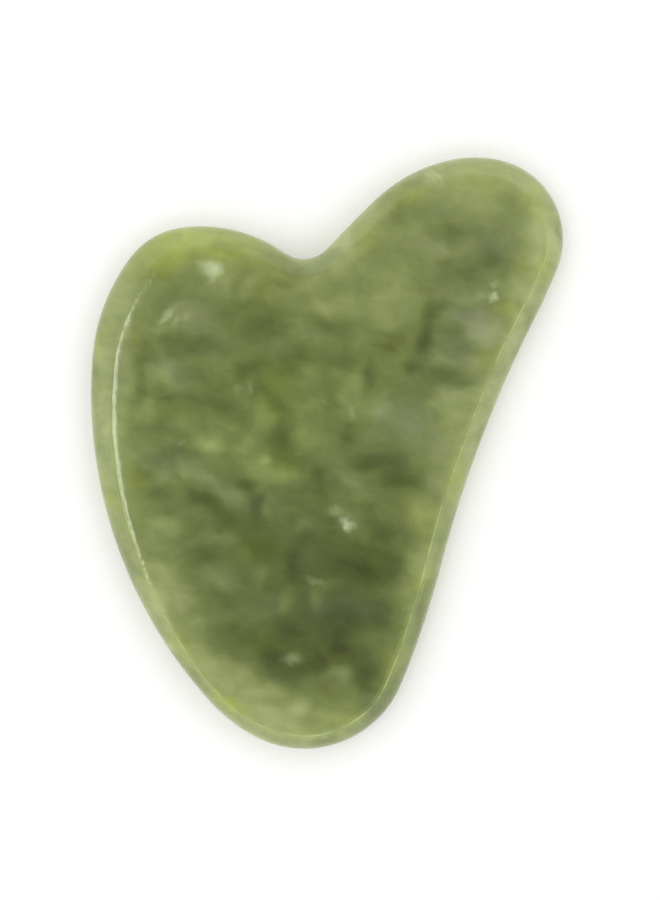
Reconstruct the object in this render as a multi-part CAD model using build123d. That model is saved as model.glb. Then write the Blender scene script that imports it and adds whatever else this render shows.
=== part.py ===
from build123d import *
import os
from dataclasses import dataclass
from math import acos, atan2, cos, hypot, pi, sin, sqrt

# Gua sha scraper: one plate of polished green jade in the shape of a lopsided heart.
#
# Millimetres. The plate lies on its back face. The origin is under the middle of its outline,
# +Z is up through the thickness, +Y runs from the tip to the notch between the two lobes,
# and the taller lobe is on the +X side.
#
# The girdle is the plate's outermost line, halfway up its thickness. The rim is the rounded
# border between the girdle and each flat face, and the crease is the edge where they meet.

# ---- Driving dimensions ------------------------------------------------------------------
THICKNESS = 6.0         # from flat face to flat face
RIM_END_COSINE = 0.28   # how far the rim's elliptical profile has turned where it ends
LEVELS_PER_SIDE = 5     # cross-sections between the girdle and each flat face
CREASE_RADIUS = 1.6     # the crease, polished over


@dataclass
class Arc:
    """One arc of the outline, hollow where its radius is negative.

    The rim is its width in plan. Where it tapers along the arc, the flat face's own arc has its
    centre further along Y by the drift.
    """
    x: float
    y: float
    radius: float
    rim: float = 0.0
    drift: float = 0.0


# The outline at the girdle: a closed chain of tangent arcs, counter-clockwise from the taller
# lobe. Beside each arc stands the radius of the blend that joins it to the next one.
OUTLINE = [
    (Arc(20.3, 28.0, 10.6, rim=2.2, drift=-0.6), 15.8),     # cap of the taller lobe
    (Arc(20.3, 18.6, 20.2, rim=2.5), 139.5),                # its inner side, nearly straight below
    (Arc(-3.1, 29.7, -4.3, rim=2.5), 18.8),                 # notch between the lobes
    (Arc(-17.8, 19.7, 9.9, rim=3.5), 24.7),                 # shoulder of the shorter lobe
    (Arc(29.3, 7.9, 60.2, rim=2.8, drift=-2.0), 21.1),      # long bowed side
    (Arc(-3.0, -24.9, 13.8, rim=1.9), 118.2),               # tip
    (Arc(172.9, -56.1, -163.3, rim=2.1), 78.5),             # long hollow side
]


def blend(first, second, radius):
    """The arc of a given radius that touches two arcs and turns the way its sign says."""
    step_x = second.x - first.x
    step_y = second.y - first.y
    apart = hypot(step_x, step_y)
    from_first = abs(first.radius - radius)
    from_second = abs(second.radius - radius)
    along = (from_first ** 2 - from_second ** 2 + apart ** 2) / (2 * apart)
    across = sqrt(from_first ** 2 - along ** 2)
    if radius * (first.radius - radius) * (radius - second.radius) > 0:
        across = -across
    return Arc(first.x + (step_x * along - step_y * across) / apart,
               first.y + (step_y * along + step_x * across) / apart,
               radius)


def touch_angle(first, second):
    """Direction, from both centres, of the point where two arcs touch."""
    sign = 1 if first.radius > second.radius else -1
    return atan2(sign * (second.y - first.y), sign * (second.x - first.x))


def arc_chain(inset):
    """All the arcs of one cross-section, from inset 0 at the girdle to 1 at a flat face."""
    corners = [Arc(arc.x, arc.y + inset * arc.drift, arc.radius - inset * arc.rim)
               for arc, _ in OUTLINE]
    chain = []
    for index, (arc, blend_radius) in enumerate(OUTLINE):
        following = (index + 1) % len(OUTLINE)
        blend_rim = (arc.rim + OUTLINE[following][0].rim) / 2
        chain.append(corners[index])
        chain.append(blend(corners[index], corners[following], blend_radius - inset * blend_rim))
    return chain


def section(inset, height):
    """One flat cross-section of the plate, as a face."""
    chain = arc_chain(inset)
    edges = []
    for index, arc in enumerate(chain):
        start = touch_angle(chain[index - 1], arc)
        end = touch_angle(arc, chain[(index + 1) % len(chain)])
        turn = (end - start + pi) % (2 * pi) - pi
        points = [(arc.x + arc.radius * cos(angle), arc.y + arc.radius * sin(angle))
                  for angle in (start, start + turn / 2, start + turn)]
        edges.append(ThreePointArc(*points))
    return Pos(0, 0, height) * make_face(edges)


def jade_plate():
    """The plate: two flat faces, and between them a rim with an elliptical profile."""
    end_angle = acos(RIM_END_COSINE)
    half = THICKNESS / 2
    sections = []
    for level in range(-LEVELS_PER_SIDE, LEVELS_PER_SIDE + 1):
        angle = end_angle * level / LEVELS_PER_SIDE
        inset = (1 - cos(angle)) / (1 - RIM_END_COSINE)
        height = half + half * sin(angle) / sin(end_angle)
        sections.append(section(inset, height))
    plate = loft(sections)
    creases = plate.faces().filter_by(GeomType.PLANE).edges()
    plate = fillet(creases, CREASE_RADIUS)
    middle = plate.bounding_box().center()
    return Pos(-middle.X, -middle.Y, 0) * plate


os.makedirs("parts", exist_ok=True)
plate = jade_plate()
export_step(plate, "parts/jade_plate.step")
size = plate.bounding_box().size
print(f"jade_plate: {size.X:.2f} x {size.Y:.2f} x {size.Z:.2f} mm, volume {plate.volume:.0f} mm3")
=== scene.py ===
"""Looks of a gua sha scraper: one heart-shaped plate of polished, cloudy green jade.

Everything is in metres in the CAD row's frame: the plate lies on the floor at z = 0, its tip points
to -Y and its taller lobe is on the +X side. The plate's mesh is made new from cuts through the CAD
node: an even grid of faces round the rim and small triangles across the two flat faces. The stone's
clouds, stains and flecks are lists in millimetres.
"""
from math import cos, pi, radians, sin, sqrt

import bmesh
import bpy
import numpy as np
from mathutils import Matrix, Vector, noise
from mathutils.geometry import delaunay_2d_cdt


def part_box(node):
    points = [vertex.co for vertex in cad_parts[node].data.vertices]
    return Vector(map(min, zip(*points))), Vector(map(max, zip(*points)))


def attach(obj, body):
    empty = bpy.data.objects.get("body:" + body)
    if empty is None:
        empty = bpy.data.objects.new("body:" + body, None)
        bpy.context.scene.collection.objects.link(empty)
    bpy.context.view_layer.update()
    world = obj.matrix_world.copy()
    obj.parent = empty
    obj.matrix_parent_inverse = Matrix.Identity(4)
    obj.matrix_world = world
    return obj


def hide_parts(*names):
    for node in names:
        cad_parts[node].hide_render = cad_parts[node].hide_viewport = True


MM = 0.001

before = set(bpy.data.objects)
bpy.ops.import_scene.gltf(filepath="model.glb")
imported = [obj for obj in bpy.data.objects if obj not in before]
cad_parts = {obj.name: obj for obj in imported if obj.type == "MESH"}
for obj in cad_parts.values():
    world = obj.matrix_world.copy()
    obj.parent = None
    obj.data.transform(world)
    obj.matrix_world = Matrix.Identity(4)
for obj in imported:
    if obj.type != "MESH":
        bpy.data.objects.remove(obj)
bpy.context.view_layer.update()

CAD_NODE = "jade_plate"
LOW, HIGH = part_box(CAD_NODE)
HALF = (HIGH.z - LOW.z) / 2
MIDDLE = (LOW + HIGH) / 2


# ==== The plate's mesh ====================================================================
COLUMNS = 640               # round the outline
RIM_END_COSINE = 0.28       # the CAD rim's elliptical profile ends at this cosine
GIRDLE_OFFSET = 0.01 * MM   # the girdle is cut this much above its own level, clear of its edges
WELD_DISTANCE = 1e-7        # metres: points of a cut that are nearer than this are one
TINY = 1e-12                # stands in for a zero that would be divided by
CUT_HEIGHT = 0.83           # of the half thickness: the cut that measures the rim's width
OUTLINE_SMOOTHING = 0.8 * MM
WIDTH_SMOOTHING = 2.0 * MM

CRISP_CREASE = 0.17 * MM    # height over which the crease is rounded off along the sides
SOFT_CREASE = 0.29 * MM     # and on the long bowed side and the crowns of the two lobes
CREASE_WEAR = 0.3           # share by which that height varies
WEAR_SIZE = 4.0 * MM        # and how far apart it does
CREASE_WANDER = 0.03        # share of the rim's width by which the crease strays from its line
WANDER_SIZE = 6.0 * MM      # and how far apart it does
BOWED_SIDE_EXTRA = 0.07     # share by which polishing has widened the rim on the long bowed side
SHOULDER_EXTRA = 0.06       # and once more at the shoulder above it

# A stretch of the rim is told by its inward direction: these shares of it point right on the bowed
# side, and down at its shoulder and on the crowns. Each stretch fades in between its two values.
BOWED_FACING = (0.55, 0.95)
SHOULDER_FACING = (0.02, 0.22)
CROWN_FACING = (0.20, 0.55)

FACE_GRID = 0.7 * MM        # spacing of the points across a flat face
FACE_GRID_MARGIN = 0.55     # of that spacing: how far they stay from the face's border
HAND_GROUND = 0.018 * MM    # how far the polished faces wander from flat
BROAD_WAVES = (13 * MM, 17 * MM)    # size of that along X and Y
FINE_WAVES = (5 * MM, 6 * MM)       # size of the finer waves on it
FINE_WAVE_SHARE = 0.18

# Where the rings of the rim lie, from 0 at the girdle to 1 at the crease, and past it.
RING_SHARES = [0.0, 0.008, 0.03, 0.07, 0.125, 0.195, 0.28, 0.38, 0.49, 0.6, 0.71, 0.8, 0.87, 0.92,
               0.955, 0.98, 1.0, 1.02, 1.045, 1.08, 1.13, 1.21, 1.34, 1.55]
WANDER_FADE = (1.0, 1.5)    # between these shares the faces begin to wander from flat


def cut_outline(mesh, height):
    """The closed outline of a mesh at a height: its points in order, counter-clockwise."""
    cut = bmesh.new()
    cut.from_mesh(mesh)
    bmesh.ops.remove_doubles(cut, verts=cut.verts[:], dist=WELD_DISTANCE)
    bmesh.ops.bisect_plane(cut, geom=cut.verts[:] + cut.edges[:] + cut.faces[:],
                           plane_co=(0, 0, height), plane_no=(0, 0, 1),
                           clear_inner=True, clear_outer=True)
    bmesh.ops.remove_doubles(cut, verts=cut.verts[:], dist=WELD_DISTANCE)
    start = max(cut.verts, key=lambda vert: vert.co.x)
    points, vert, came_by = [], start, None
    while vert is not start or not points:
        points.append((vert.co.x, vert.co.y))
        came_by = next(edge for edge in vert.link_edges if edge is not came_by)
        vert = came_by.other_vert(vert)
    cut.free()
    points = np.array(points)
    after = np.roll(points, -1, 0)
    area = (points[:, 0] * after[:, 1] - points[:, 1] * after[:, 0]).sum() / 2
    return points if area > 0 else points[::-1]


def even_loop(points, count):
    """Points at even spacing along a closed outline, and the outline's length."""
    closed = np.vstack([points, points[:1]])
    travelled = np.r_[0, np.cumsum(np.hypot(*np.diff(closed, axis=0).T))]
    at = np.linspace(0, travelled[-1], count, endpoint=False)
    even = np.stack([np.interp(at, travelled, closed[:, axis]) for axis in (0, 1)], 1)
    return even, travelled[-1]


def smooth_round(values, reach):
    """Values round a loop, smoothed over a number of samples without shrinking wide bends."""
    keep = np.exp(-2 * (pi * reach * np.fft.fftfreq(len(values))) ** 2)
    keep = 2 * keep - keep ** 2
    if values.ndim == 2:
        keep = keep[:, None]
    return np.fft.ifft(np.fft.fft(values, axis=0) * keep, axis=0).real


def inset_along(points, inward, inner):
    """How far along each inward direction the inner outline is."""
    start = inner[None]
    step = np.roll(inner, -1, 0)[None] - start
    gap = start - points[:, None]
    facing = inward[:, None]
    across = facing[..., 0] * step[..., 1] - facing[..., 1] * step[..., 0]
    across = np.where(across == 0, TINY, across)
    distance = (gap[..., 0] * step[..., 1] - gap[..., 1] * step[..., 0]) / across
    place = (gap[..., 0] * facing[..., 1] - gap[..., 1] * facing[..., 0]) / across
    hit = (place >= 0) & (place <= 1) & (distance > 0)
    return np.where(hit, distance, np.inf).min(1)


def smoothstep(low, high, value):
    share = np.clip((value - low) / (high - low), 0, 1)
    return share * share * (3 - 2 * share)


def measure_rim(mesh):
    """Round the plate: girdle points, inward directions, the rim's width, how soft its crease is
    and how crowned it is.

    Crowned runs from 0 on the sides and the tip to 1 on the ends of the lobes, which are
    polished rounder. The crease is as soft there and on the long bowed side.
    """
    girdle, length = even_loop(cut_outline(mesh, MIDDLE.z + GIRDLE_OFFSET), COLUMNS)
    spacing = length / COLUMNS
    girdle = smooth_round(girdle, OUTLINE_SMOOTHING / spacing)
    along = np.roll(girdle, -1, 0) - np.roll(girdle, 1, 0)
    along = along / np.hypot(*along.T)[:, None]
    inward = np.stack([-along[:, 1], along[:, 0]], 1)
    bowed = smoothstep(*BOWED_FACING, inward[:, 0])
    shoulder = bowed * smoothstep(*SHOULDER_FACING, -inward[:, 1])
    crowned = smoothstep(*CROWN_FACING, -inward[:, 1])

    end_sine = sqrt(1 - RIM_END_COSINE ** 2)
    cut_cosine = sqrt(1 - (CUT_HEIGHT * end_sine) ** 2)
    cut_share = (1 - cut_cosine) / (1 - RIM_END_COSINE)
    inner = cut_outline(mesh, MIDDLE.z + HALF * CUT_HEIGHT)
    width = inset_along(girdle, inward, inner) / cut_share
    width = smooth_round(width, WIDTH_SMOOTHING / spacing)
    width = width * (1 + CREASE_WANDER * uneven(girdle, WANDER_SIZE, 1.0))
    width = width * (1 + BOWED_SIDE_EXTRA * bowed + SHOULDER_EXTRA * shoulder)
    return girdle, inward, width, np.maximum(crowned, bowed), crowned


def rim_height(share, rounding):
    """Height above the girdle at a share of the rim's width, with the crease rounded off."""
    end_sine = sqrt(1 - RIM_END_COSINE ** 2)
    if share < 1:
        turned = 1 - share * (1 - RIM_END_COSINE)
        height = HALF * sqrt(1 - turned ** 2) / end_sine
    else:
        slope = HALF * RIM_END_COSINE * (1 - RIM_END_COSINE) / end_sine ** 2
        height = HALF + slope * (share - 1)
    above = np.clip(height - HALF, -rounding, rounding)
    rounded = HALF - (rounding - above) ** 2 / (4 * rounding)
    return np.where(height - HALF < -rounding, height, rounded)


def uneven(points, size, seed):
    """Noise from -1 to 1 at points in plan."""
    return np.array([noise.noise(Vector((x / size, y / size, seed))) for x, y in points])


def wander(x, y, side):
    """How far below its plane a flat face is at a point: the stone was ground by hand."""
    broad = Vector((x / BROAD_WAVES[0], y / BROAD_WAVES[1], 5.0 * side))
    fine = Vector((x / FINE_WAVES[0], y / FINE_WAVES[1], 9.0 * side))
    return HAND_GROUND * (0.5 + 0.5 * noise.noise(broad) + FINE_WAVE_SHARE * noise.noise(fine))


def face_points(border):
    """Points of an even triangular grid inside an outline, clear of it."""
    low, high = border.min(0), border.max(0)
    grid = []
    for index, y in enumerate(np.arange(low[1], high[1], FACE_GRID * sqrt(3) / 2)):
        for x in np.arange(low[0] + FACE_GRID / 2 * (index % 2), high[0], FACE_GRID):
            grid.append((x, y))
    grid = np.array(grid)
    after = np.roll(border, -1, 0)
    x, y = grid[:, :1], grid[:, 1:]
    crosses = (border[:, 1] > y) != (after[:, 1] > y)
    rise = np.where(after[:, 1] == border[:, 1], TINY, after[:, 1] - border[:, 1])
    left_of = x < border[:, 0] + (y - border[:, 1]) / rise * (after[:, 0] - border[:, 0])
    inside = (crosses & left_of).sum(1) % 2 == 1
    gap = np.hypot(x - border[:, 0], y - border[:, 1]).min(1)
    return grid[inside & (gap > FACE_GRID * FACE_GRID_MARGIN)]


def add_attribute(mesh, name, values):
    """Stores one number for each point of a mesh."""
    layer = mesh.attributes.new(name, "FLOAT", "POINT")
    layer.data.foreach_set("value", np.array(values, np.float32))


class PlateMesh:
    """Collects the plate's points and faces, and what the material reads at each point."""

    def __init__(self, girdle, inward, width, soft, crowned):
        self.girdle, self.inward, self.width, self.crowned = girdle, inward, width, crowned
        worn = 1 + CREASE_WEAR * uneven(girdle, WEAR_SIZE, 2.0)
        self.rounding = (CRISP_CREASE + (SOFT_CREASE - CRISP_CREASE) * soft) * worn
        self.verts, self.faces = [], []
        self.edge_depth, self.past_crease, self.crisp = [], [], []

    def add_point(self, x, y, z, edge_depth, index):
        """One point, at a depth in plan from the girdle, level with one of the girdle's points."""
        self.verts.append((x, y, z))
        self.edge_depth.append(edge_depth / MM)
        self.past_crease.append((edge_depth - self.width[index]) / MM)
        self.crisp.append(1 - self.crowned[index])
        return len(self.verts) - 1

    def add_ring(self, share, side):
        """One ring of points round the rim, on the top half (side 1) or the bottom half (-1)."""
        ring = self.girdle + self.inward * (share * self.width)[:, None]
        height = rim_height(share, self.rounding)
        fade = smoothstep(*WANDER_FADE, share)
        points = []
        for index, (x, y) in enumerate(ring):
            lift = height[index] - fade * wander(x, y, side)
            points.append(self.add_point(x, y, MIDDLE.z + side * lift,
                                         share * self.width[index], index))
        return points

    def add_rim(self):
        """All rings and the quads between them. Returns the lowest and the highest ring."""
        levels = [(share, -1) for share in reversed(RING_SHARES[1:])]
        levels += [(share, 1) for share in RING_SHARES]
        rings = [self.add_ring(share, side) for share, side in levels]
        for lower, upper in zip(rings, rings[1:]):
            for index in range(COLUMNS):
                after = (index + 1) % COLUMNS
                self.faces.append((lower[index], lower[after], upper[after], upper[index]))
        return rings[0], rings[-1]

    def add_flat_faces(self, rings):
        """Fills the lowest and the highest ring with small triangles."""
        border = self.girdle + self.inward * (RING_SHARES[-1] * self.width)[:, None]
        flat = [Vector(point) for point in np.vstack([border, face_points(border)])]
        _, _, triangles, sources, _, _ = delaunay_2d_cdt(flat, [], [list(range(COLUMNS))], 1, 1e-9)
        for side, ring in zip((-1, 1), rings):
            place = []
            for source in sources:
                index = source[0]
                if index < COLUMNS:
                    place.append(ring[index])
                    continue
                x, y = flat[index]
                depth = np.hypot(x - self.girdle[:, 0], y - self.girdle[:, 1])
                height = MIDDLE.z + side * (HALF - wander(x, y, side))
                place.append(self.add_point(x, y, height, depth.min(), depth.argmin()))
            for triangle in triangles:
                corners = [place[index] for index in triangle]
                self.faces.append(corners if side > 0 else corners[::-1])

    def finish(self, name):
        mesh = bpy.data.meshes.new(name)
        mesh.from_pydata(self.verts, [], self.faces)
        add_attribute(mesh, "edge_depth", self.edge_depth)
        add_attribute(mesh, "past_crease", self.past_crease)
        add_attribute(mesh, "crisp", self.crisp)
        mesh.polygons.foreach_set("use_smooth", [True] * len(mesh.polygons))
        mesh.update()
        made = bpy.data.objects.new(name, mesh)
        bpy.context.scene.collection.objects.link(made)
        return made


def make_plate():
    plate_mesh = PlateMesh(*measure_rim(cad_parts[CAD_NODE].data))
    plate_mesh.add_flat_faces(plate_mesh.add_rim())
    return plate_mesh.finish("polished_plate")


# ==== Material nodes ======================================================================
class Shader:
    """The node tree of a material or a world, with short ways to add and link nodes."""

    def __init__(self, owner, surface="Principled BSDF"):
        owner.use_nodes = True
        self.owner = owner
        self.tree = owner.node_tree
        self.surface = self.tree.nodes[surface]

    def add(self, kind, inputs, **settings):
        node = self.tree.nodes.new(kind)
        for name, value in settings.items():
            setattr(node, name, value)
        for key, value in inputs.items():
            self.put(node.inputs[key], value)
        return node

    def put(self, socket, value):
        if isinstance(value, bpy.types.NodeSocket):
            self.tree.links.new(value, socket)
        else:
            socket.default_value = value

    def math(self, operation, first, second=0.0, third=0.0, clamp=False):
        inputs = {0: first, 1: second, 2: third}
        return self.add("ShaderNodeMath", inputs, operation=operation, use_clamp=clamp).outputs[0]

    def vector(self, operation, first, second):
        return self.add("ShaderNodeVectorMath", {0: first, 1: second}, operation=operation).outputs[0]

    def place(self, point, centre=(0, 0, 0), turn=0.0, size=(1, 1, 1)):
        """A point as seen from a frame that is centred, turned about Z and scaled."""
        inputs = {"Vector": point, "Location": centre, "Rotation": (0, 0, radians(turn)), "Scale": size}
        return self.add("ShaderNodeMapping", inputs, vector_type="TEXTURE").outputs[0]

    def noise_node(self, point, size, detail=3.0, roughness=0.5, seed=0.0):
        inputs = {"Vector": point, "Scale": 1 / size, "Detail": detail, "Roughness": roughness,
                  "W": seed}
        return self.add("ShaderNodeTexNoise", inputs, noise_dimensions="4D")

    def noise(self, point, size, **settings):
        """Noise between 0 and 1 with features of about a given size."""
        return self.noise_node(point, size, **settings).outputs["Fac"]

    def shifted(self, point, size, reach, **settings):
        """A point moved by noise, by up to half of the reach along each axis."""
        shift = self.noise_node(point, size, **settings).outputs["Color"]
        shift = self.vector("SUBTRACT", shift, (0.5, 0.5, 0.5))
        return self.vector("ADD", point, self.vector("MULTIPLY", shift, (reach, reach, reach)))

    def fade(self, value, low, high, low_value=0.0, high_value=1.0):
        """A smooth step of a value from one level to another."""
        inputs = {"Value": value, "From Min": low, "From Max": high, "To Min": low_value,
                  "To Max": high_value}
        return self.add("ShaderNodeMapRange", inputs, interpolation_type="SMOOTHSTEP").outputs[0]

    def bell(self, value, half_width):
        """1 where a value is 0, falling off on both sides of it."""
        away = self.math("DIVIDE", value, half_width)
        return self.math("EXPONENT", self.math("MULTIPLY", self.math("MULTIPLY", away, away), -1))

    def mix(self, share, first, second, blend="MIX"):
        inputs = {0: share, 6: first, 7: second}
        return self.add("ShaderNodeMix", inputs, data_type="RGBA", blend_type=blend).outputs[2]

    def attribute(self, name):
        return self.add("ShaderNodeAttribute", {}, attribute_name=name).outputs["Fac"]

    def ramp(self, value, stops):
        """Colours along a value, from (value, colour) stops."""
        node = self.add("ShaderNodeValToRGB", {"Fac": value})
        elements = node.color_ramp.elements
        while len(elements) < len(stops):
            elements.new(0.5)
        for element, (position, colour) in zip(elements, stops):
            element.position = position
            element.color = (*colour, 1)
        return node.outputs[0]


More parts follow.
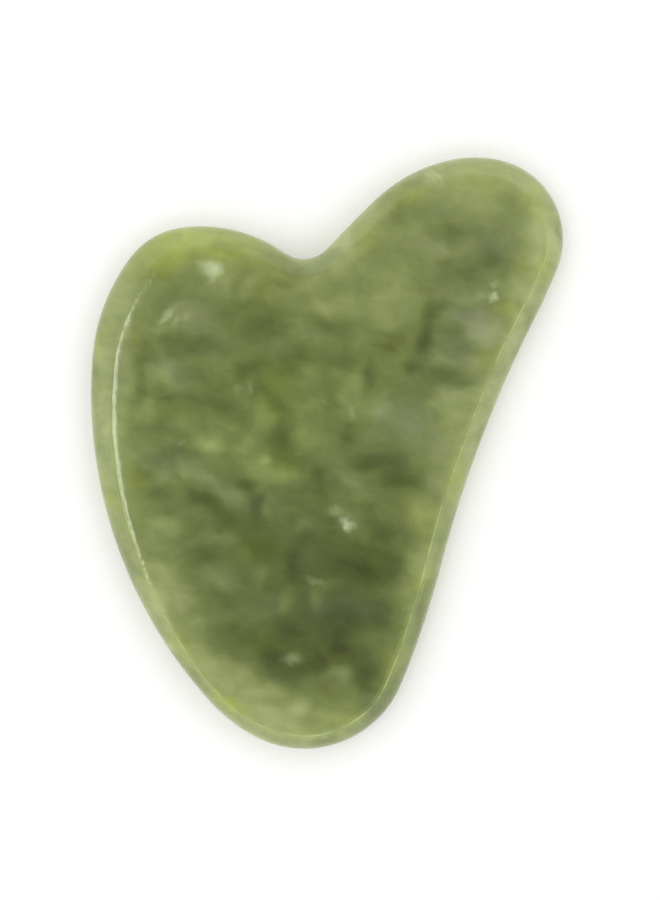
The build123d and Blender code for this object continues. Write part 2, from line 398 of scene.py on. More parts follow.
# ==== Jade ================================================================================
# Sizes in this section are plain millimetres, unless MM turns them into metres.
#
# Clouds in the stone, and some painted shade along the rim, in the row's frame: (x, y), (half length,
# half width), turn in degrees, strength. Every cloud fades from its middle to nothing at its edge.
DARK_CLOUDS_AND_RIM_SHADE = [
    # broad
    ((-3.0, -24.0), (20.0, 15.0), 0, 0.06),
    ((-2.0, -11.0), (24.0, 14.0), 0, 0.16),
    ((2.0, -18.0), (12.0, 12.0), 0, 0.14),
    ((0.5, -25.0), (12.0, 7.0), 0, 0.16),
    # along the rim: darker bands in the stone, and on the right side and at the tip painted shade of
    # the rim turned from the light
    ((6.6, -33.0), (5.0, 4.0), 45, 0.38),
    ((11.4, -26.0), (8.0, 1.8), 72, 0.16),
    ((30.9, 29.0), (5.0, 1.2), 88, 0.16),
    ((26.4, 15.4), (8.0, 1.3), 63, 0.18),
    ((20.6, 2.0), (8.0, 1.3), 67, 0.16),
    ((15.9, -11.0), (8.0, 1.3), 71, 0.18),
    ((8.4, -33.0), (5.0, 1.3), 52, 0.20),
    ((0.5, -38.2), (7.5, 1.3), 6, 0.26),
    ((-18.4, -28.4), (9.0, 1.2), -50, 0.18),
    ((-30.8, 9.4), (6.0, 1.9), 88, 0.22),
    ((-26.4, -14.6), (9.0, 1.7), -68, 0.16),
    ((12.2, -21.6), (9.0, 1.7), 72, 0.16),
    ((4.8, -35.8), (5.0, 1.9), 24, 0.20),
    ((-6.4, 25.4), (4.6, 2.6), -22, 0.13),
    ((9.6, 34.0), (5.6, 1.9), 33, 0.13),
    ((-26.0, -9.4), (4.0, 1.4), -74, 0.10),
    ((26.2, 16.4), (6.0, 1.6), 62, 0.10),
    ((9.6, -29.4), (3.2, 2.6), 70, 0.16),
    ((13.2, -18.2), (2.8, 1.8), 72, 0.14),
    ((25.4, 18.2), (2.4, 1.8), 60, 0.12),
    ((17.4, 37.0), (3.4, 1.6), 0, 0.08),
    ((11.6, 34.8), (3.0, 1.6), 30, 0.08),
    ((1.4, 26.0), (2.8, 1.8), 30, 0.10),
    ((-3.6, 23.6), (3.6, 1.7), -20, 0.18),
    ((-0.8, 24.0), (3.6, 2.2), 25, 0.16),
    ((-13.0, 27.2), (3.4, 1.4), 0, 0.10),
    # taller lobe
    ((22.6, 33.8), (2.6, 1.8), 0, 0.10),
    ((21.0, 25.5), (4.6, 3.8), -20, 0.20),
    ((18.3, 23.4), (3.2, 2.4), 0, 0.14),
    ((17.3, 28.8), (2.6, 1.8), 0, 0.12),
    ((23.8, 33.0), (2.4, 2.0), 0, 0.14),
    ((9.3, 30.0), (3.4, 1.6), 90, 0.10),
    ((15.0, 24.2), (2.4, 1.6), 0, 0.08),
    ((23.0, 22.7), (2.0, 1.3), 0, 0.12),
    ((15.5, 19.3), (3.0, 1.4), 20, 0.18),
    ((13.5, 17.3), (3.8, 2.2), 85, 0.24),
    ((16.3, 16.2), (2.2, 1.7), 0, 0.20),
    ((7.8, 14.5), (3.0, 2.0), 0, 0.20),
    # shorter lobe and notch
    ((-22.5, 24.6), (5.6, 3.6), 35, 0.11),
    ((-5.0, 21.4), (3.2, 1.8), 30, 0.10),
    ((0.0, 16.8), (4.2, 1.8), 0, 0.12),
    ((-13.4, 26.8), (3.4, 1.6), -8, 0.10),
    ((-11.6, 23.0), (3.0, 1.6), 50, 0.09),
    ((-8.5, 16.3), (5.0, 3.4), 20, 0.18),
    ((-10.5, 19.0), (3.4, 1.6), 0, 0.12),
    ((-20.3, 14.8), (3.2, 1.6), 0, 0.14),
    ((-7.0, 22.3), (3.0, 2.2), 0, 0.12),
    ((-5.2, 22.0), (2.4, 1.6), 0, 0.10),
    # beside the bowed side
    ((-24.2, 7.7), (2.2, 1.5), 0, 0.12),
    ((-20.6, -7.2), (3.0, 1.6), 0, 0.10),
    ((-23.4, -3.0), (2.4, 1.6), 0, 0.10),
    ((-24.2, 11.6), (1.8, 1.6), 0, 0.12),
    ((-25.2, 7.8), (1.8, 1.6), 0, 0.08),
    ((-23.2, 12.0), (2.4, 1.6), 40, 0.12),
    ((-17.0, 13.8), (7.0, 2.4), -5, 0.20),
    ((-14.5, 7.0), (4.4, 3.0), 0, 0.20),
    ((-17.4, 7.6), (2.4, 1.8), 90, 0.12),
    ((-20.8, 7.4), (3.2, 1.5), 0, 0.16),
    ((-25.2, 10.0), (5.0, 1.7), 85, 0.18),
    ((-23.4, 13.8), (2.6, 1.6), 60, 0.12),
    ((-20.5, -0.4), (4.2, 2.2), 0, 0.18),
    ((-15.4, -6.4), (4.8, 1.7), -30, 0.24),
    ((-22.0, -4.8), (3.0, 1.6), 0, 0.14),
    ((-22.6, -12.6), (3.0, 2.2), 0, 0.12),
    ((-24.2, -1.8), (2.0, 1.6), 0, 0.10),
    ((-16.5, -13.0), (3.6, 2.0), 0, 0.20),
    # middle
    ((-8.5, -5.6), (2.2, 1.5), 0, 0.12),
    ((-4.8, -8.2), (2.6, 1.4), 0, 0.10),
    ((5.3, 10.0), (4.0, 1.4), 88, 0.24),
    ((1.3, 11.5), (3.0, 2.3), 0, 0.14),
    ((0.4, 7.8), (3.2, 1.5), 80, 0.12),
    ((-5.4, 10.4), (3.6, 1.4), 25, 0.10),
    ((-12.6, 13.2), (3.4, 1.6), 0, 0.12),
    ((-4.0, 12.3), (4.2, 3.2), 30, 0.17),
    ((-10.0, 10.3), (3.4, 1.6), 0, 0.18),
    ((-8.5, 8.0), (2.4, 2.0), 0, 0.12),
    ((-6.5, 6.4), (2.8, 1.6), -30, 0.18),
    ((-6.0, 2.0), (4.6, 2.8), 75, 0.24),
    ((-10.3, -4.1), (2.2, 1.6), 0, 0.20),
    ((-9.3, -7.4), (3.6, 1.5), 95, 0.18),
    ((-13.0, -9.0), (2.2, 1.8), 0, 0.14),
    ((-8.8, -12.4), (3.6, 2.4), 0, 0.20),
    ((-0.9, -3.6), (3.4, 1.4), 90, 0.18),
    ((-3.5, -0.6), (3.6, 1.9), -15, 0.14),
    ((2.5, 3.0), (4.2, 2.0), 75, 0.18),
    ((5.2, -1.0), (2.8, 1.8), 0, 0.22),
    ((7.6, -1.6), (4.0, 2.2), 0, 0.12),
    ((8.6, -0.9), (3.0, 1.4), 0, 0.14),
    ((8.3, -10.8), (3.2, 2.4), 0, 0.20),
    ((5.8, -7.7), (1.9, 1.1), -30, 0.10),
    ((-2.5, -10.8), (3.2, 2.2), 0, 0.16),
    # beside the hollow side
    ((10.8, -11.6), (5.0, 2.2), 80, 0.10),
    ((13.0, -4.8), (2.4, 1.8), 0, 0.10),
    ((13.2, 14.0), (3.2, 2.4), 60, 0.30),
    ((17.3, 13.2), (2.4, 2.0), 0, 0.14),
    ((14.6, 10.6), (3.0, 1.9), 0, 0.20),
    ((17.6, 9.5), (2.5, 1.5), -10, 0.14),
    ((11.0, 11.3), (2.5, 1.9), 0, 0.20),
    ((9.2, -3.8), (4.0, 2.3), -10, 0.24),
    ((11.5, -3.6), (2.2, 2.0), 90, 0.10),
    # tip
    ((6.2, -20.6), (3.0, 1.8), 0, 0.10),
    ((3.4, -27.6), (2.2, 1.6), 0, 0.10),
    ((-14.4, -25.4), (4.0, 2.6), -30, 0.07),
    ((9.6, -23.5), (9.0, 3.4), 72, 0.20),
    ((7.4, -29.0), (3.4, 3.4), 0, 0.14),
    ((5.4, -29.6), (3.4, 1.8), 60, 0.10),
    ((-4.0, -27.2), (3.4, 1.4), 0, 0.10),
    ((9.8, -15.6), (2.6, 3.2), 0, 0.14),
    ((-2.6, -24.8), (3.0, 2.0), 0, 0.10),
    ((-14.6, -26.6), (4.0, 2.0), -50, 0.12),
    ((-19.4, -18.0), (2.6, 1.8), 0, 0.14),
    ((-16.0, -14.4), (2.8, 1.8), 0, 0.12),
    ((-12.4, -20.2), (3.0, 1.8), 0, 0.12),
    ((-8.2, -24.2), (3.0, 1.8), 0, 0.10),
    ((-7.6, -28.8), (3.4, 2.0), 0, 0.14),
    ((-8.0, -32.4), (3.0, 1.8), 0, 0.12),
    ((4.6, -28.6), (3.0, 2.4), 0, 0.14),
    ((7.0, -23.0), (2.2, 2.2), 0, 0.08),
    ((-21.2, -13.4), (3.0, 2.0), 0, 0.12),
    ((-8.0, -14.2), (2.8, 1.2), 0, 0.10),
    ((-10.6, -25.0), (3.0, 1.4), 0, 0.10),
    ((-7.6, -32.8), (3.0, 1.6), 0, 0.10),
    ((-4.8, -14.4), (3.8, 2.4), 90, 0.20),
    ((-13.0, -18.6), (4.6, 2.0), -10, 0.18),
    ((5.5, -15.0), (5.4, 3.4), 0, 0.22),
    ((8.4, -14.2), (2.4, 3.0), 0, 0.12),
    ((3.5, -22.4), (5.0, 3.0), 0, 0.18),
    ((7.0, -21.6), (2.4, 2.6), 0, 0.18),
    ((-11.5, -23.6), (5.0, 2.3), 0, 0.20),
    ((-7.0, -26.6), (4.4, 2.8), -20, 0.26),
    ((-4.3, -22.8), (3.2, 2.3), 0, 0.18),
    ((-4.0, -29.0), (4.4, 2.1), 0, 0.20),
    ((-8.3, -29.8), (2.4, 1.8), 0, 0.12),
    ((-12.6, -26.0), (3.4, 1.8), 0, 0.12),
    ((-0.8, -27.6), (3.2, 2.8), 90, 0.18),
    ((1.9, -25.8), (3.2, 2.4), 90, 0.20),
    ((5.4, -27.6), (3.6, 3.0), 90, 0.26),
    ((5.2, -30.6), (2.0, 1.7), 0, 0.16),
    ((0.5, -31.5), (2.6, 1.3), 0, 0.14),
]
LIGHT_CLOUDS = [
    # broad
    ((-4.0, 9.0), (28.0, 15.0), 0, 0.045),
    ((16.0, 24.0), (17.0, 12.0), 45, 0.05),
    ((19.5, 34.6), (11.0, 4.6), -5, 0.17),
    ((-17.5, 26.5), (10.5, 4.0), 3, 0.16),
    ((-27.0, 4.0), (12.0, 1.3), 85, 0.12),
    # along the rim
    ((30.2, 27.0), (3.6, 1.3), 88, 0.12),
    ((24.0, 14.5), (4.8, 1.8), 65, 0.14),
    ((-22.0, -20.0), (8.0, 1.8), -66, 0.16),
    ((1.6, 28.6), (2.8, 1.6), 50, 0.16),
    ((29.4, 28.0), (3.0, 1.4), 85, 0.10),
    ((1.4, 28.8), (2.4, 1.5), 50, 0.16),
    ((-12.0, -33.0), (3.6, 1.6), -38, 0.12),
    ((2.0, 28.2), (2.6, 1.8), 48, 0.14),
    ((-7.6, -36.6), (3.4, 1.6), -14, 0.12),
    ((-28.8, 2.2), (2.2, 1.2), 88, 0.10),
    ((7.2, -32.8), (1.8, 1.5), 0, 0.10),
    # taller lobe
    ((11.4, 19.0), (3.0, 2.2), 60, 0.08),
    ((19.0, 25.2), (3.0, 2.0), 0, 0.08),
    ((27.0, 24.8), (2.0, 1.6), 0, 0.08),
    ((27.4, 28.0), (7.0, 3.0), 85, 0.22),
    ((25.5, 20.0), (6.0, 2.4), 70, 0.14),
    ((13.5, 26.4), (4.6, 2.0), 0, 0.12),
    ((11.0, 28.4), (3.4, 2.2), 0, 0.10),
    ((8.0, 20.5), (5.6, 4.2), 60, 0.20),
    ((20.2, 31.0), (4.6, 3.4), 0, 0.20),
    ((20.2, 15.8), (4.0, 2.2), -20, 0.20),
    ((12.0, 22.0), (4.0, 4.0), 0, 0.07),
    ((26.8, 31.0), (4.4, 1.8), -65, 0.12),
    ((27.6, 25.0), (2.4, 1.6), 80, 0.08),
    ((19.6, 20.0), (2.6, 2.2), 0, 0.10),
    ((8.0, 28.2), (2.6, 1.8), 0, 0.08),
    ((18.6, 27.4), (3.0, 2.4), 0, 0.12),
    ((25.0, 29.8), (2.6, 2.2), 0, 0.08),
    ((20.4, 17.6), (3.0, 1.8), 0, 0.10),
    ((8.0, 17.0), (3.4, 2.2), 0, 0.08),
    ((22.3, 16.5), (2.0, 1.8), 0, 0.10),
    ((17.9, 20.6), (2.0, 1.6), 0, 0.10),
    ((18.2, 26.2), (2.6, 2.2), 0, 0.10),
    # shorter lobe and notch
    ((2.2, 19.8), (5.2, 2.4), 0, 0.16),
    ((-1.5, 22.6), (3.2, 2.0), 0, 0.14),
    ((2.2, 25.8), (4.4, 2.0), 30, 0.14),
    ((-0.3, 19.2), (2.0, 1.6), 0, 0.12),
    ((-20.0, 18.5), (5.5, 1.6), 60, 0.10),
    ((-10.6, 21.3), (2.4, 2.2), 0, 0.12),
    ((-14.4, 23.0), (2.6, 2.4), 0, 0.10),
    ((-18.0, 15.0), (3.4, 2.0), 0, 0.08),
    ((5.0, 23.0), (4.0, 4.0), 0, 0.06),
    ((-18.6, 18.0), (4.5, 3.6), 60, 0.10),
    ((-22.0, 21.8), (3.0, 2.0), 0, 0.08),
    ((-26.2, 16.0), (4.6, 1.2), 80, 0.16),
    ((3.8, 15.5), (2.2, 4.4), 0, 0.10),
    ((-15.6, 21.6), (3.6, 2.2), 20, 0.11),
    # beside the bowed side
    ((-21.5, 10.2), (3.6, 2.2), 0, 0.22),
    ((-24.0, 6.0), (3.8, 2.2), 0, 0.16),
    ((-17.8, 3.2), (3.4, 1.8), 0, 0.14),
    ((-15.6, 1.2), (3.4, 2.2), 0, 0.24),
    ((-21.0, -2.1), (3.4, 1.8), 0, 0.16),
    ((-18.0, -2.6), (3.8, 1.2), -45, 0.18),
    ((-15.4, -3.6), (3.2, 1.3), -40, 0.18),
    ((-20.8, -8.8), (4.0, 2.2), 0, 0.20),
    ((-15.0, 0.4), (3.6, 2.0), 0, 0.12),
    ((-28.6, 3.0), (3.6, 1.6), 85, 0.12),
    ((-25.8, 9.5), (3.6, 1.1), 88, 0.10),
    ((-15.3, 0.0), (2.6, 1.8), 0, 0.10),
    ((-23.0, 4.7), (2.4, 1.6), 0, 0.12),
    # middle
    ((-7.4, 4.4), (2.4, 1.6), 60, 0.10),
    ((-13.0, 3.1), (2.4, 1.5), 0, 0.12),
    ((-9.2, 4.0), (4.0, 2.1), 70, 0.14),
    ((-10.8, 1.6), (2.6, 2.0), 0, 0.14),
    ((-3.8, 6.2), (2.3, 1.8), 0, 0.14),
    ((-1.5, 6.8), (2.2, 1.6), 0, 0.12),
    ((-3.0, 3.4), (1.9, 1.7), 0, 0.12),
    ((-1.3, 2.4), (1.9, 1.6), 0, 0.14),
    ((-8.0, -1.9), (5.4, 2.9), -20, 0.24),
    ((-7.6, -0.9), (1.4, 1.3), 0, 0.14),
    ((-5.0, -3.4), (3.4, 1.8), 0, 0.16),
    ((-12.4, -5.8), (3.0, 1.6), -35, 0.18),
    ((-8.0, -6.6), (2.6, 1.6), 80, 0.18),
    ((-13.6, -11.0), (4.2, 1.2), -10, 0.14),
    ((-10.7, -12.7), (1.6, 1.4), 0, 0.14),
    ((3.0, -3.6), (3.8, 2.2), -30, 0.24),
    ((4.5, -6.0), (2.8, 1.4), 0, 0.16),
    ((1.4, -7.5), (2.2, 1.2), 0, 0.18),
    ((-3.3, -8.8), (3.0, 2.0), 0, 0.12),
    ((4.5, -8.8), (2.4, 1.8), 0, 0.12),
    ((6.6, 5.6), (4.2, 4.5), 0, 0.20),
    ((3.0, 4.0), (2.5, 2.5), 0, 0.10),
    ((3.4, 8.6), (3.0, 2.4), 0, 0.08),
    ((-9.0, -3.4), (3.0, 2.0), 0, 0.10),
    ((4.2, -10.8), (3.2, 1.8), -10, 0.14),
    ((1.6, -6.0), (2.4, 2.2), 0, 0.10),
    ((3.4, 7.0), (2.0, 5.0), 0, 0.10),
    ((3.0, -8.4), (2.0, 2.0), 0, 0.12),
    ((-0.6, -10.2), (2.6, 1.8), 0, 0.12),
    ((-2.0, 14.0), (2.6, 1.6), 0, 0.10),
    ((-13.2, 8.0), (2.8, 1.8), 0, 0.10),
    ((-8.0, 4.8), (2.2, 1.8), 0, 0.08),
    ((6.2, 2.2), (2.2, 1.8), 0, 0.10),
    ((-7.5, -0.2), (2.2, 1.8), 0, 0.10),
    ((1.6, 7.0), (4.6, 1.8), 105, 0.10),
    ((4.4, 10.6), (3.4, 1.5), 95, 0.10),
    # beside the hollow side
    ((16.0, 7.2), (5.0, 2.2), 0, 0.16),
    ((16.8, 4.0), (3.6, 3.0), 0, 0.12),
    ((12.2, -7.4), (3.2, 2.2), 80, 0.20),
    ((10.6, 4.2), (5.0, 3.6), 0, 0.05),
    ((13.8, 12.6), (2.2, 1.6), 0, 0.08),
    ((18.6, 12.4), (2.6, 1.6), 0, 0.10),
    ((17.6, 12.8), (4.0, 1.8), 0, 0.08),
    ((13.2, 6.4), (2.2, 1.6), 0, 0.10),
    ((14.8, 12.0), (2.4, 1.8), 0, 0.12),
    # tip
    ((-21.4, -15.0), (7.0, 2.8), -68, 0.22),
    ((-18.8, -18.6), (3.0, 2.4), 90, 0.14),
    ((-16.7, -22.2), (2.0, 1.7), 0, 0.14),
    ((-9.2, -16.2), (2.8, 1.6), 90, 0.14),
    ((-14.2, -15.8), (2.8, 2.4), 0, 0.12),
    ((-5.1, -19.2), (2.6, 1.6), 80, 0.16),
    ((-0.7, -18.6), (3.4, 1.6), 90, 0.18),
    ((0.6, -17.0), (2.2, 1.4), 0, 0.12),
    ((-14.5, -27.5), (6.0, 3.0), -45, 0.22),
    ((-9.0, -31.0), (5.6, 3.6), -30, 0.28),
    ((-3.4, -33.2), (2.8, 2.4), 0, 0.28),
    ((1.0, -34.0), (3.6, 1.5), 10, 0.14),
    ((-7.0, -34.0), (7.0, 2.6), -18, 0.22),
    ((1.8, -29.0), (3.6, 1.6), 0, 0.17),
    ((-4.5, -26.7), (2.0, 1.5), 0, 0.22),
    ((11.0, -15.5), (8.0, 2.0), 73, 0.14),
    ((10.6, -20.2), (2.2, 1.4), 80, 0.14),
    ((-5.5, -35.8), (6.0, 1.6), -12, 0.16),
    ((-3.6, -18.2), (2.6, 1.6), 0, 0.10),
    ((-9.4, -29.2), (2.6, 1.4), -20, 0.12),
    ((9.6, -24.2), (3.4, 1.5), 78, 0.10),
    ((-0.2, -35.6), (2.6, 1.3), 0, 0.10),
    ((-0.5, -29.4), (1.9, 1.4), 0, 0.10),
]
# Greyer than the rest.
MILKY_CLOUDS = [
    # broad
    ((19.0, 18.0), (11.0, 22.0), -18, 0.30),
    # along the rim
    ((5.8, -33.0), (3.0, 2.0), 45, 0.60),
    # taller lobe
    ((19.0, 17.4), (4.4, 3.0), -10, 0.95),
    ((20.4, 15.4), (2.8, 2.0), 0, 0.40),
    ((22.0, 27.4), (4.4, 3.4), 0, 0.55),
    ((12.8, 26.8), (4.6, 2.2), 0, 0.45),
    ((15.0, 31.0), (4.2, 2.6), 0, 0.25),
    # shorter lobe and notch
    ((-18.5, 18.6), (4.6, 3.0), 0, 0.45),
    ((-16.5, 16.3), (5.0, 2.4), 0, 0.60),
    ((-2.0, 15.5), (4.5, 2.4), 0, 0.30),
    # beside the bowed side
    ((-14.5, 13.8), (5.4, 2.6), 0, 0.50),
    ((-20.8, 11.0), (4.6, 2.2), 0, 0.70),
    ((-19.0, 8.8), (2.4, 2.4), 0, 0.50),
    ((-20.8, -0.8), (4.6, 3.0), 0, 0.60),
    ((-15.4, -3.6), (6.4, 1.9), -35, 0.55),
    ((-26.6, 12.0), (6.5, 1.1), 78, 0.50),
    # middle
    ((-7.0, 13.6), (3.0, 2.2), 0, 0.40),
    ((-12.0, -6.2), (4.0, 1.8), -30, 0.45),
    ((-7.6, -6.8), (3.2, 2.8), 0, 0.45),
    ((3.0, -3.6), (3.8, 2.8), 0, 0.55),
    ((1.2, -0.6), (5.0, 2.0), 0, 0.35),
    ((8.6, -0.9), (4.8, 2.0), 0, 0.35),
    ((-3.0, -9.0), (3.6, 2.4), 0, 0.60),
    # beside the hollow side
    ((16.7, 13.6), (3.4, 3.0), 0, 0.45),
    ((9.6, 4.2), (6.6, 4.8), 0, 1.00),
    ((14.6, 0.8), (3.2, 2.2), 0, 0.60),
    ((14.3, -2.8), (4.6, 1.7), 80, 0.50),
    # tip
    ((-2.0, -13.4), (3.4, 2.2), 90, 0.40),
    ((-13.2, -16.0), (4.2, 2.8), 0, 0.40),
    ((-9.0, -19.8), (6.4, 2.4), 0, 0.45),
    ((-1.4, -19.0), (3.4, 2.4), 90, 0.45),
    ((2.6, -20.6), (6.0, 3.4), 0, 0.60),
    ((-19.0, -18.6), (3.0, 2.4), 90, 0.55),
    ((1.8, -29.0), (3.6, 1.8), 0, 0.50),
    ((-4.4, -26.7), (2.2, 1.6), 0, 0.40),
]
# Stained yellow-green.
IRON_STAINS = [
    # along the rim
    ((-19.5, 28.2), (9.0, 3.0), 14, 0.60),
    ((-12.0, 28.6), (7.0, 2.6), -12, 0.50),
    ((-26.4, 20.5), (5.0, 1.8), 65, 0.50),
    ((28.4, 24.0), (3.0, 1.8), 75, 0.90),
    ((16.6, -2.8), (4.4, 1.8), 70, 0.75),
    ((12.9, -16.6), (3.4, 1.4), 75, 0.80),
    ((8.6, -27.4), (4.8, 1.9), 72, 0.70),
    ((-13.0, -32.6), (4.0, 1.6), -40, 1.00),
    ((-19.0, -25.2), (3.6, 1.4), -58, 0.70),
    ((-29.0, 15.0), (5.0, 1.7), 78, 0.60),
    ((-30.0, 8.6), (5.0, 1.7), 88, 0.45),
    ((-28.3, -5.5), (5.5, 1.5), -76, 0.60),
    # taller lobe
    ((8.6, 32.4), (2.8, 2.0), 30, 0.50),
    ((27.2, 32.6), (4.2, 2.4), -60, 0.75),
    ((25.3, 24.2), (2.4, 1.3), 85, 0.60),
    ((23.5, 18.3), (2.6, 2.0), 0, 0.45),
    # shorter lobe and notch
    ((-21.8, 25.6), (7.0, 4.4), 25, 0.95),
    ((-13.5, 26.6), (8.0, 3.4), -8, 0.80),
    ((5.6, 28.6), (4.8, 2.0), 75, 0.60),
    ((-24.8, 14.8), (4.0, 1.1), 85, 0.55),
    # beside the bowed side
    ((-24.5, -3.6), (3.4, 1.2), 88, 0.60),
    # middle
    ((-4.5, 0.4), (5.0, 4.0), 0, 0.22),
    ((-9.0, -12.6), (4.0, 2.6), 0, 0.30),
    # beside the hollow side
    ((20.8, 13.0), (2.8, 1.8), 20, 0.60),
    ((13.4, -9.0), (4.6, 1.6), 72, 0.60),
    # tip
    ((3.0, -34.2), (3.2, 1.6), 25, 0.60),
    ((0.6, -31.4), (2.6, 1.3), 0, 0.55),
]
# More saturated than the rest.
OLIVE_CLOUDS = [
    ((-8.0, 8.0), (22.0, 20.0), 0, 0.20),
    ((-6.5, 8.0), (4.5, 6.0), 0, 0.45),
    ((-6.0, -1.0), (4.0, 4.5), 0, 0.45),
    ((-9.0, -12.8), (4.6, 2.8), 0, 0.55),
    ((-7.5, -24.5), (6.0, 3.2), 0, 0.50),
    ((0.0, -27.0), (6.0, 3.5), 0, 0.50),
    ((5.5, -14.0), (5.0, 4.0), 0, 0.45),
    ((8.0, 14.0), (4.0, 2.8), 0, 0.35),
    ((13.6, 18.0), (2.6, 3.2), 0, 0.40),
    ((-8.0, 20.5), (4.0, 4.5), 0, 0.35),
    ((-17.0, 26.0), (9.0, 3.6), 0, 0.45),
    ((11.0, -7.6), (3.0, 3.0), 0, 0.35),
    ((-20.5, 6.0), (6.0, 3.0), 0, 0.30),
    ((-24.5, -3.5), (2.0, 3.5), 0, 0.45),
    ((22.5, 18.6), (2.8, 2.0), 0, 0.45),
    ((-6.4, 25.0), (4.8, 3.0), -20, 0.50),
    ((10.0, 33.2), (5.4, 2.6), 32, 0.50),
    ((20.0, 36.0), (8.0, 3.0), 0, 0.40),
    ((-23.0, 24.8), (5.6, 3.6), 35, 0.45),
]
# A colder green.
GREEN_CLOUDS = [
    ((-9.0, 1.0), (25.0, 21.0), 0, 1.3),
    ((6.0, 9.6), (9.0, 5.0), 0, 0.7),
    ((-16.0, -7.0), (12.0, 9.0), 0, 0.6),
    ((-2.0, -14.0), (12.0, 9.0), 0, 0.6),
    ((15.0, 15.5), (5.0, 5.0), 0, 0.5),
    ((-22.0, 24.0), (6.0, 5.0), 0, 0.4),
]
# White, and finer.
FLECKS = [
    ((-15.2, 24.2), (2.4, 1.6), -8, 0.72),
    ((-14.6, 23.3), (2.1, 1.2), 70, 0.46),
    ((-20.9, 17.8), (2.2, 0.75), 50, 0.45),
    ((-19.6, 17.2), (1.2, 0.6), 50, 0.22),
    ((-18.3, 17.8), (1.3, 0.6), 50, 0.16),
    ((-10.0, 8.6), (1.5, 0.8), 80, 0.16),
    ((-11.6, 8.4), (1.0, 0.7), 120, 0.14),
    ((2.6, -9.1), (2.3, 1.8), -30, 0.24),
    ((2.6, -9.3), (1.4, 1.0), -40, 0.55),
    ((1.2, -7.6), (1.7, 1.0), 0, 0.24),
    ((21.6, 20.3), (1.2, 1.0), 0, 0.70),
    ((21.8, 22.0), (0.9, 0.8), 60, 0.25),
    ((20.0, 20.4), (1.2, 0.7), 0, 0.14),
    ((14.0, 36.4), (2.8, 0.6), -45, 0.34),
    ((12.9, 36.6), (2.4, 0.5), -48, 0.30),
    ((-1.6, -16.6), (2.4, 0.9), -15, 0.18),
    ((-4.5, -26.8), (2.4, 1.0), 0, 0.20),
    ((3.3, 5.2), (1.6, 0.8), 88, 0.22),
    ((-19.0, 1.4), (1.2, 0.6), 30, 0.12),
    ((-7.6, -0.9), (1.2, 0.9), 0, 0.16),
]
CLOUD_CONTRAST = 1.05
CLOUD_DEPTH = 11.0      # how far the clouds reach down into the stone
FLECK_DEPTH = 2.0       # and the white flecks
BROAD_TEAR = (6.0, 1.1) # size of the noise that draws the clouds out, and how far it does
FINE_TEAR = (1.8, 0.7)  # size of the noise that frays them, and how far it does
TEAR_SEED = 7           # without a seed, both noises change from run to run

# The stone's own noises: size in millimetres, and reach or share.
SWIRL = (5.0, 4.0)      # bends the others
STREAK_TURN = -12       # degrees: they are drawn out this way
STREAK_STRETCH = (1.7, 1.0, 1.2)
MOTTLE = (3.0, 0.52)
FLOUR = (0.8, 0.12)
VEIL_SIZE = 2.6         # thins the milky clouds
VEIL_FADE = (0.25, 0.65, 0.5, 1.0)      # between two of its values, from one share to another
RUST_SIZE = 3.0         # thins the iron stains
RUST_FADE = (0.30, 0.65, 0.4, 1.0)
FRAY = (0.9, 1.7)       # tears the flecks
BASE_TONE = 0.130
RIM_GLOW_REACH = 5.0        # painted light: the stone is painted paler this far in from the girdle, for light shining through its thin edge
RIM_GLOW_POWER = 1.5
RIM_GLOW_TONE = 0.40

# Colours by tone: from 0, the darkest, to 1, the palest.
JADE_COLOURS = [
    (0.00, (0.051, 0.064, 0.014)),
    (0.25, (0.092, 0.116, 0.027)),
    (0.50, (0.154, 0.188, 0.053)),
    (0.75, (0.247, 0.290, 0.098)),
    (1.00, (0.355, 0.400, 0.165)),
]
MILKY_COLOURS = [
    (0.00, (0.064, 0.078, 0.034)),
    (0.50, (0.175, 0.200, 0.097)),
    (1.00, (0.355, 0.388, 0.218)),
]
STAINED_COLOURS = [
    (0.00, (0.070, 0.085, 0.008)),
    (0.50, (0.190, 0.235, 0.030)),
    (1.00, (0.390, 0.450, 0.095)),
]
OLIVE_TINT = (1.0, 1.0, 0.50, 1)
GREEN_TINT = (0.950, 1.0, 0.97, 1)
FLECK_COLOUR = (0.52, 0.58, 0.33, 1)
CREASE_HIGHLIGHT_COLOUR = (0.45, 0.52, 0.20, 1)
MOST_MILK, MOST_IRON, MOST_FLECK = 0.85, 0.9, 0.9   # shares of those colours where they are full

# Painted highlights along the crease, drawn as lines: distance past it, half width and strength.
CREASE_HIGHLIGHT_LINES = [(0.0, 0.15, 0.78), (-0.42, 0.12, 0.20), (0.38, 0.13, 0.20)]
HIGHLIGHT_STRAY = (5.0, 0.35)    # size of the noise that makes them stray, and how far it does
HIGHLIGHT_BREAK_SIZE = 2.6       # of the noise that breaks them
HIGHLIGHT_BREAK = (0.34, 0.66)   # between these values of it a line fades in
HIGHLIGHT_FAINTEST = 1 / 4       # of its strength is left where it is broken

# Polish.
SMOOTHEST, DULLEST = 0.10, 0.17     # roughness between and on the smudges
SMUDGE_SIZE = 7.0
SMUDGE_LEVELS = (0.3, 0.75)         # values of its noise between which it dulls the polish
MARK_ROUGHNESS = 0.08       # added by scratches and pits
MARK_DEPTH = 0.25           # and their depth in ripples
SCRATCH_SIZE = (16.0, 0.14, 4.0)
SCRATCH_TURNS = [35, -20, 80]       # directions of the hairline scratches, in degrees
SCRATCH_LEVELS = (0.66, 0.74)       # values of its noise between which a scratch deepens
PIT_SIZE = 0.35
PIT_LEVELS = (0.72, 0.80)
RIPPLE_SIZE = 2.6
RIPPLE_STRENGTH, RIPPLE_HEIGHT = 0.35, 0.004 * MM
FACETS = (1.3, 28.0)        # size of the facets along the crease, and their height in ripples
FACET_REACH = 0.9           # how far from the crease they go
REFRACTION = 1.56
GLOW_SHARE = 0.3            # of the light that scatters under the surface
GLOW_DEPTH = 1.6 * MM
GLOW_BY_COLOUR = (1.0, 1.25, 0.5)


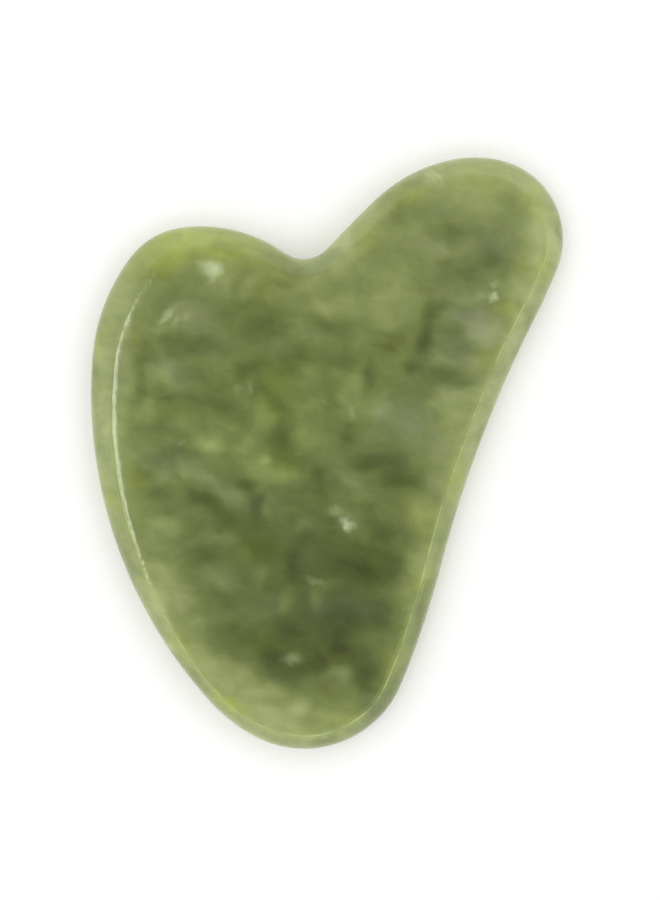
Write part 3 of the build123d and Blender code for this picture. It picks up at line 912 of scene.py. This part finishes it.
def torn(points):
    """Points moved about by noise: clouds that are read there have torn outlines."""
    noise.seed_set(TEAR_SEED)
    moved = []
    for point in points:
        place = Vector(point)
        for size, reach in (BROAD_TEAR, FINE_TEAR):
            place = place + reach * noise.noise_vector(Vector(point) / size)
        moved.append(place)
    return np.array(moved)


def cloud_strength(points, clouds):
    """How much of a list of clouds there is at each point, in millimetres."""
    total = np.zeros(len(points))
    for (x, y), (half_length, half_width), turn, strength in clouds:
        cosine, sine = cos(radians(turn)), sin(radians(turn))
        from_x, from_y = points[:, 0] - x, points[:, 1] - y
        along = (from_x * cosine + from_y * sine) / half_length
        across = (from_y * cosine - from_x * sine) / half_width
        down = (HIGH.z / MM - points[:, 2]) / CLOUD_DEPTH
        distance = np.sqrt(along ** 2 + across ** 2 + down ** 2)
        total += strength * (1 - smoothstep(0, 1, distance))
    return total


def colour_stone(mesh):
    """Stores what the jade's material reads at each point of a mesh."""
    points = np.empty(len(mesh.vertices) * 3)
    mesh.vertices.foreach_get("co", points)
    points = torn(points.reshape(-1, 3) / MM)
    # The dark list also holds painted shade along the rim, on the right side and at the tip.
    shade = cloud_strength(points, LIGHT_CLOUDS) - cloud_strength(points, DARK_CLOUDS_AND_RIM_SHADE)
    add_attribute(mesh, "shade", shade * CLOUD_CONTRAST)
    add_attribute(mesh, "milk", cloud_strength(points, MILKY_CLOUDS))
    add_attribute(mesh, "iron", cloud_strength(points, IRON_STAINS))
    add_attribute(mesh, "olive", np.minimum(cloud_strength(points, OLIVE_CLOUDS), 1))
    add_attribute(mesh, "green", np.minimum(cloud_strength(points, GREEN_CLOUDS), 1))


def fleck_strength(shader, point):
    """The white flecks, which are finer than the mesh."""
    total = 0.0
    for (x, y), (half_length, half_width), turn, strength in FLECKS:
        size = (half_length, half_width, FLECK_DEPTH)
        seen = shader.place(point, (x, y, HIGH.z / MM), turn, size)
        distance = shader.add("ShaderNodeVectorMath", {0: seen}, operation="LENGTH").outputs["Value"]
        total = shader.math("ADD", total, shader.fade(distance, 0, 1, strength, 0))
    return total


def painted_crease_highlights(shader, point):
    """Fine, broken, lighter lines along the crease: painted highlights where it catches the light."""
    past_crease = shader.attribute("past_crease")
    stray_size, stray_reach = HIGHLIGHT_STRAY
    stray = shader.noise(point, stray_size, detail=1.0, seed=10.0)
    stray = shader.math("SUBTRACT", stray, 0.5)
    total = 0.0
    for seed, (offset, half_width, strength) in enumerate(CREASE_HIGHLIGHT_LINES):
        away = shader.math("SUBTRACT", past_crease, offset)
        away = shader.math("MULTIPLY_ADD", stray, stray_reach, away)
        broken = shader.noise(point, HIGHLIGHT_BREAK_SIZE, roughness=0.6, seed=11.0 + seed)
        there = shader.fade(broken, *HIGHLIGHT_BREAK, strength * HIGHLIGHT_FAINTEST, strength)
        line = shader.math("MULTIPLY", shader.bell(away, half_width), there)
        total = shader.math("MAXIMUM", total, line)
    return shader.math("MULTIPLY", total, shader.attribute("crisp"))


def stone_tone(shader, point, streaked):
    """From 0, the darkest olive, to 1, the palest yellow-green."""
    mottle_size, mottle_share = MOTTLE
    flour_size, flour_share = FLOUR
    mottle = shader.noise(streaked, mottle_size, detail=4.0, roughness=0.55, seed=3.0)
    flour = shader.noise(streaked, flour_size, roughness=0.6, seed=4.0)
    # Painted glow: the tone is paler near the girdle, for light that shines through the thin edge.
    painted_rim_glow = shader.math("DIVIDE", shader.attribute("edge_depth"), RIM_GLOW_REACH)
    painted_rim_glow = shader.math("MULTIPLY", shader.math("POWER", painted_rim_glow, RIM_GLOW_POWER), -1)
    painted_rim_glow = shader.math("EXPONENT", painted_rim_glow)
    tone = shader.math("MULTIPLY_ADD", mottle, mottle_share, BASE_TONE)
    tone = shader.math("MULTIPLY_ADD", flour, flour_share, tone)
    tone = shader.math("ADD", tone, shader.attribute("shade"))
    return shader.math("MULTIPLY_ADD", painted_rim_glow, RIM_GLOW_TONE, tone)


def stone_colour(shader, point):
    swirl_size, swirl_reach = SWIRL
    swirled = shader.shifted(point, swirl_size, swirl_reach, detail=2.0, seed=1.0)
    streaked = shader.place(swirled, turn=STREAK_TURN, size=STREAK_STRETCH)
    tone = stone_tone(shader, point, streaked)
    jade = shader.ramp(tone, JADE_COLOURS)

    # Milky clouds are greyer, and keep most of their tone.
    veil = shader.fade(shader.noise(streaked, VEIL_SIZE, detail=4.0, seed=5.0), *VEIL_FADE)
    milk = shader.math("MULTIPLY", shader.attribute("milk"), veil)
    milk = shader.math("MULTIPLY", milk, MOST_MILK, clamp=True)
    jade = shader.mix(milk, jade, shader.ramp(tone, MILKY_COLOURS))

    # Some of the stone is more saturated, some a colder green.
    jade = shader.mix(shader.attribute("olive"), jade, OLIVE_TINT, "MULTIPLY")
    jade = shader.mix(shader.attribute("green"), jade, GREEN_TINT, "MULTIPLY")

    # Iron has stained it yellow-green, mostly near its edge.
    rust = shader.fade(shader.noise(streaked, RUST_SIZE, seed=6.0), *RUST_FADE)
    iron = shader.math("MULTIPLY", shader.attribute("iron"), rust)
    iron = shader.math("MULTIPLY", iron, MOST_IRON, clamp=True)
    jade = shader.mix(iron, jade, shader.ramp(tone, STAINED_COLOURS))

    fray_size, fray_reach = FRAY
    frayed = shader.shifted(point, fray_size, fray_reach, roughness=0.6, seed=7.0)
    fleck = shader.math("MULTIPLY", fleck_strength(shader, frayed), MOST_FLECK, clamp=True)
    jade = shader.mix(fleck, jade, FLECK_COLOUR)
    # Painted highlights along the crease, in a paler colour.
    return shader.mix(painted_crease_highlights(shader, point), jade, CREASE_HIGHLIGHT_COLOUR)


def scratches_and_pits(shader, point):
    """1 in a hairline scratch or a fine pit, 0 between them."""
    marks = 0.0
    for seed, turn in enumerate(SCRATCH_TURNS):
        scratched = shader.place(point, turn=turn, size=SCRATCH_SIZE)
        hairline = shader.noise(scratched, 1.0, detail=2.0, seed=20.0 + seed)
        marks = shader.math("MAXIMUM", marks, shader.fade(hairline, *SCRATCH_LEVELS))
    pit = shader.noise(point, PIT_SIZE, detail=2.0, seed=19.0)
    return shader.math("MAXIMUM", marks, shader.fade(pit, *PIT_LEVELS))


def polish(shader, point):
    """Sets the jade's roughness and its fine relief."""
    marks = scratches_and_pits(shader, point)
    smudge = shader.noise(point, SMUDGE_SIZE, detail=4.0, roughness=0.6, seed=8.0)
    roughness = shader.fade(smudge, *SMUDGE_LEVELS, SMOOTHEST, DULLEST)
    roughness = shader.math("MULTIPLY_ADD", marks, MARK_ROUGHNESS, roughness)
    shader.put(shader.surface.inputs["Roughness"], roughness)

    # Hand polishing has left the crease a little faceted.
    facet_size, facet_height = FACETS
    facets = shader.noise(point, facet_size, detail=2.0, seed=22.0)
    near_crease = shader.bell(shader.attribute("past_crease"), FACET_REACH)
    facets = shader.math("MULTIPLY", facets, near_crease)
    ripple = shader.noise(point, RIPPLE_SIZE, detail=2.0, seed=9.0)
    height = shader.math("MULTIPLY_ADD", marks, -MARK_DEPTH, ripple)
    height = shader.math("MULTIPLY_ADD", facets, facet_height, height)
    relief = {"Strength": RIPPLE_STRENGTH, "Distance": RIPPLE_HEIGHT, "Height": height}
    bumps = shader.add("ShaderNodeBump", relief)
    shader.put(shader.surface.inputs["Normal"], bumps.outputs[0])


def make_jade():
    shader = Shader(bpy.data.materials.new("cloudy_jade"))
    place = shader.add("ShaderNodeTexCoord", {}).outputs["Object"]
    point = shader.vector("MULTIPLY", place, (1 / MM, 1 / MM, 1 / MM))
    shader.put(shader.surface.inputs["Base Color"], stone_colour(shader, point))
    polish(shader, point)
    shader.surface.inputs["IOR"].default_value = REFRACTION
    shader.surface.inputs["Subsurface Weight"].default_value = GLOW_SHARE
    shader.surface.inputs["Subsurface Radius"].default_value = GLOW_BY_COLOUR
    shader.surface.inputs["Subsurface Scale"].default_value = GLOW_DEPTH
    return shader.owner


# ==== Studio ==============================================================================
VIEW_HEIGHT = 117.8 * MM    # how much of the girdle's plane the picture takes in, top to bottom
VIEW_CENTRE = (0.38 * MM, 0.41 * MM)    # the point it is centred on
LENS = 150.0                # millimetres, like the sensor
SENSOR = 36.0
FARTHEST_SEEN = 20.0        # metres
FLOOR_REACH = 3.0           # metres from the middle to each side
FLOOR_GAP = 0.02 * MM       # the floor is this much below the plate
TABLE_COLOURS = [(0.3, (0.90, 0.90, 0.91)), (0.7, (0.93, 0.93, 0.935))]
TABLE_TINT_SIZE = 0.3       # metres
TABLE_ROUGHNESS = 0.7
TABLE_GLOSS = 0.2
TABLE_GLOW = (0.088, 0.090, 0.076, 1)   # the table is lit a little from below
TENT_STRENGTH = 1.80
TENT = [(0.0, 0.66), (0.5, 0.72), (0.80, 0.72), (0.985, 0.18)]   # share of it from the horizon up
STRIP_POWER = 0.55          # watts
STRIP_SIZE = (0.115, 0.23)  # metres
STRIP_PLACE = (-0.25, 0.008, 1.0)


def make_camera():
    """Straight above the plate, as seen from half a metre."""
    camera = bpy.data.objects.new("camera", bpy.data.cameras.new("camera"))
    camera.data.lens = LENS
    camera.data.sensor_width = SENSOR
    camera.data.clip_end = FARTHEST_SEEN
    camera.location = (*VIEW_CENTRE, MIDDLE.z + VIEW_HEIGHT * LENS / SENSOR)
    bpy.context.scene.collection.objects.link(camera)
    bpy.context.scene.camera = camera


def make_floor():
    """A wide, pale, matt tabletop."""
    corners = [(x * FLOOR_REACH, y * FLOOR_REACH, LOW.z - FLOOR_GAP)
               for x, y in ((-1, -1), (1, -1), (1, 1), (-1, 1))]
    mesh = bpy.data.meshes.new("floor")
    mesh.from_pydata(corners, [], [(0, 1, 2, 3)])
    floor = bpy.data.objects.new("floor", mesh)
    bpy.context.scene.collection.objects.link(floor)
    shader = Shader(bpy.data.materials.new("matt_white"))
    place = shader.add("ShaderNodeTexCoord", {}).outputs["Object"]
    tint = shader.noise(place, TABLE_TINT_SIZE)
    shader.put(shader.surface.inputs["Base Color"], shader.ramp(tint, TABLE_COLOURS))
    shader.surface.inputs["Roughness"].default_value = TABLE_ROUGHNESS
    shader.surface.inputs["Specular IOR Level"].default_value = TABLE_GLOSS
    shader.surface.inputs["Emission Color"].default_value = TABLE_GLOW
    shader.surface.inputs["Emission Strength"].default_value = 1.0
    mesh.materials.append(shader.owner)


def make_crease_strip():
    """A narrow lamp that faces the plate and picks out its left crease, with its length along Y."""
    light = bpy.data.lights.new("crease_strip", "AREA")
    light.shape = "RECTANGLE"
    light.size, light.size_y = STRIP_SIZE
    light.energy = STRIP_POWER
    lamp = bpy.data.objects.new("crease_strip", light)
    away = Vector(STRIP_PLACE).normalized()
    across = Vector((0, 1, 0)).cross(away).normalized()
    turned = Matrix((across, away.cross(across), away)).transposed()
    lamp.matrix_world = Matrix.Translation(STRIP_PLACE) @ turned.to_4x4()
    bpy.context.scene.collection.objects.link(lamp)


def make_tent():
    """A white tent, a little brighter above the horizon and dim overhead, where the camera is."""
    shader = Shader(bpy.data.worlds.new("light_tent"), "Background")
    direction = shader.add("ShaderNodeTexCoord", {}).outputs["Generated"]
    height = shader.add("ShaderNodeSeparateXYZ", {"Vector": direction}).outputs["Z"]
    grey = shader.ramp(height, [(level, (share, share, share)) for level, share in TENT])
    shader.put(shader.surface.inputs["Color"], grey)
    shader.surface.inputs["Strength"].default_value = TENT_STRENGTH
    bpy.context.scene.world = shader.owner


def make_studio():
    make_camera()
    make_floor()
    make_tent()
    make_crease_strip()
    bpy.context.scene.view_settings.view_transform = "Standard"


make_studio()
plate = make_plate()
colour_stone(plate.data)
plate.data.materials.append(make_jade())
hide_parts(CAD_NODE)
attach(plate, "root")
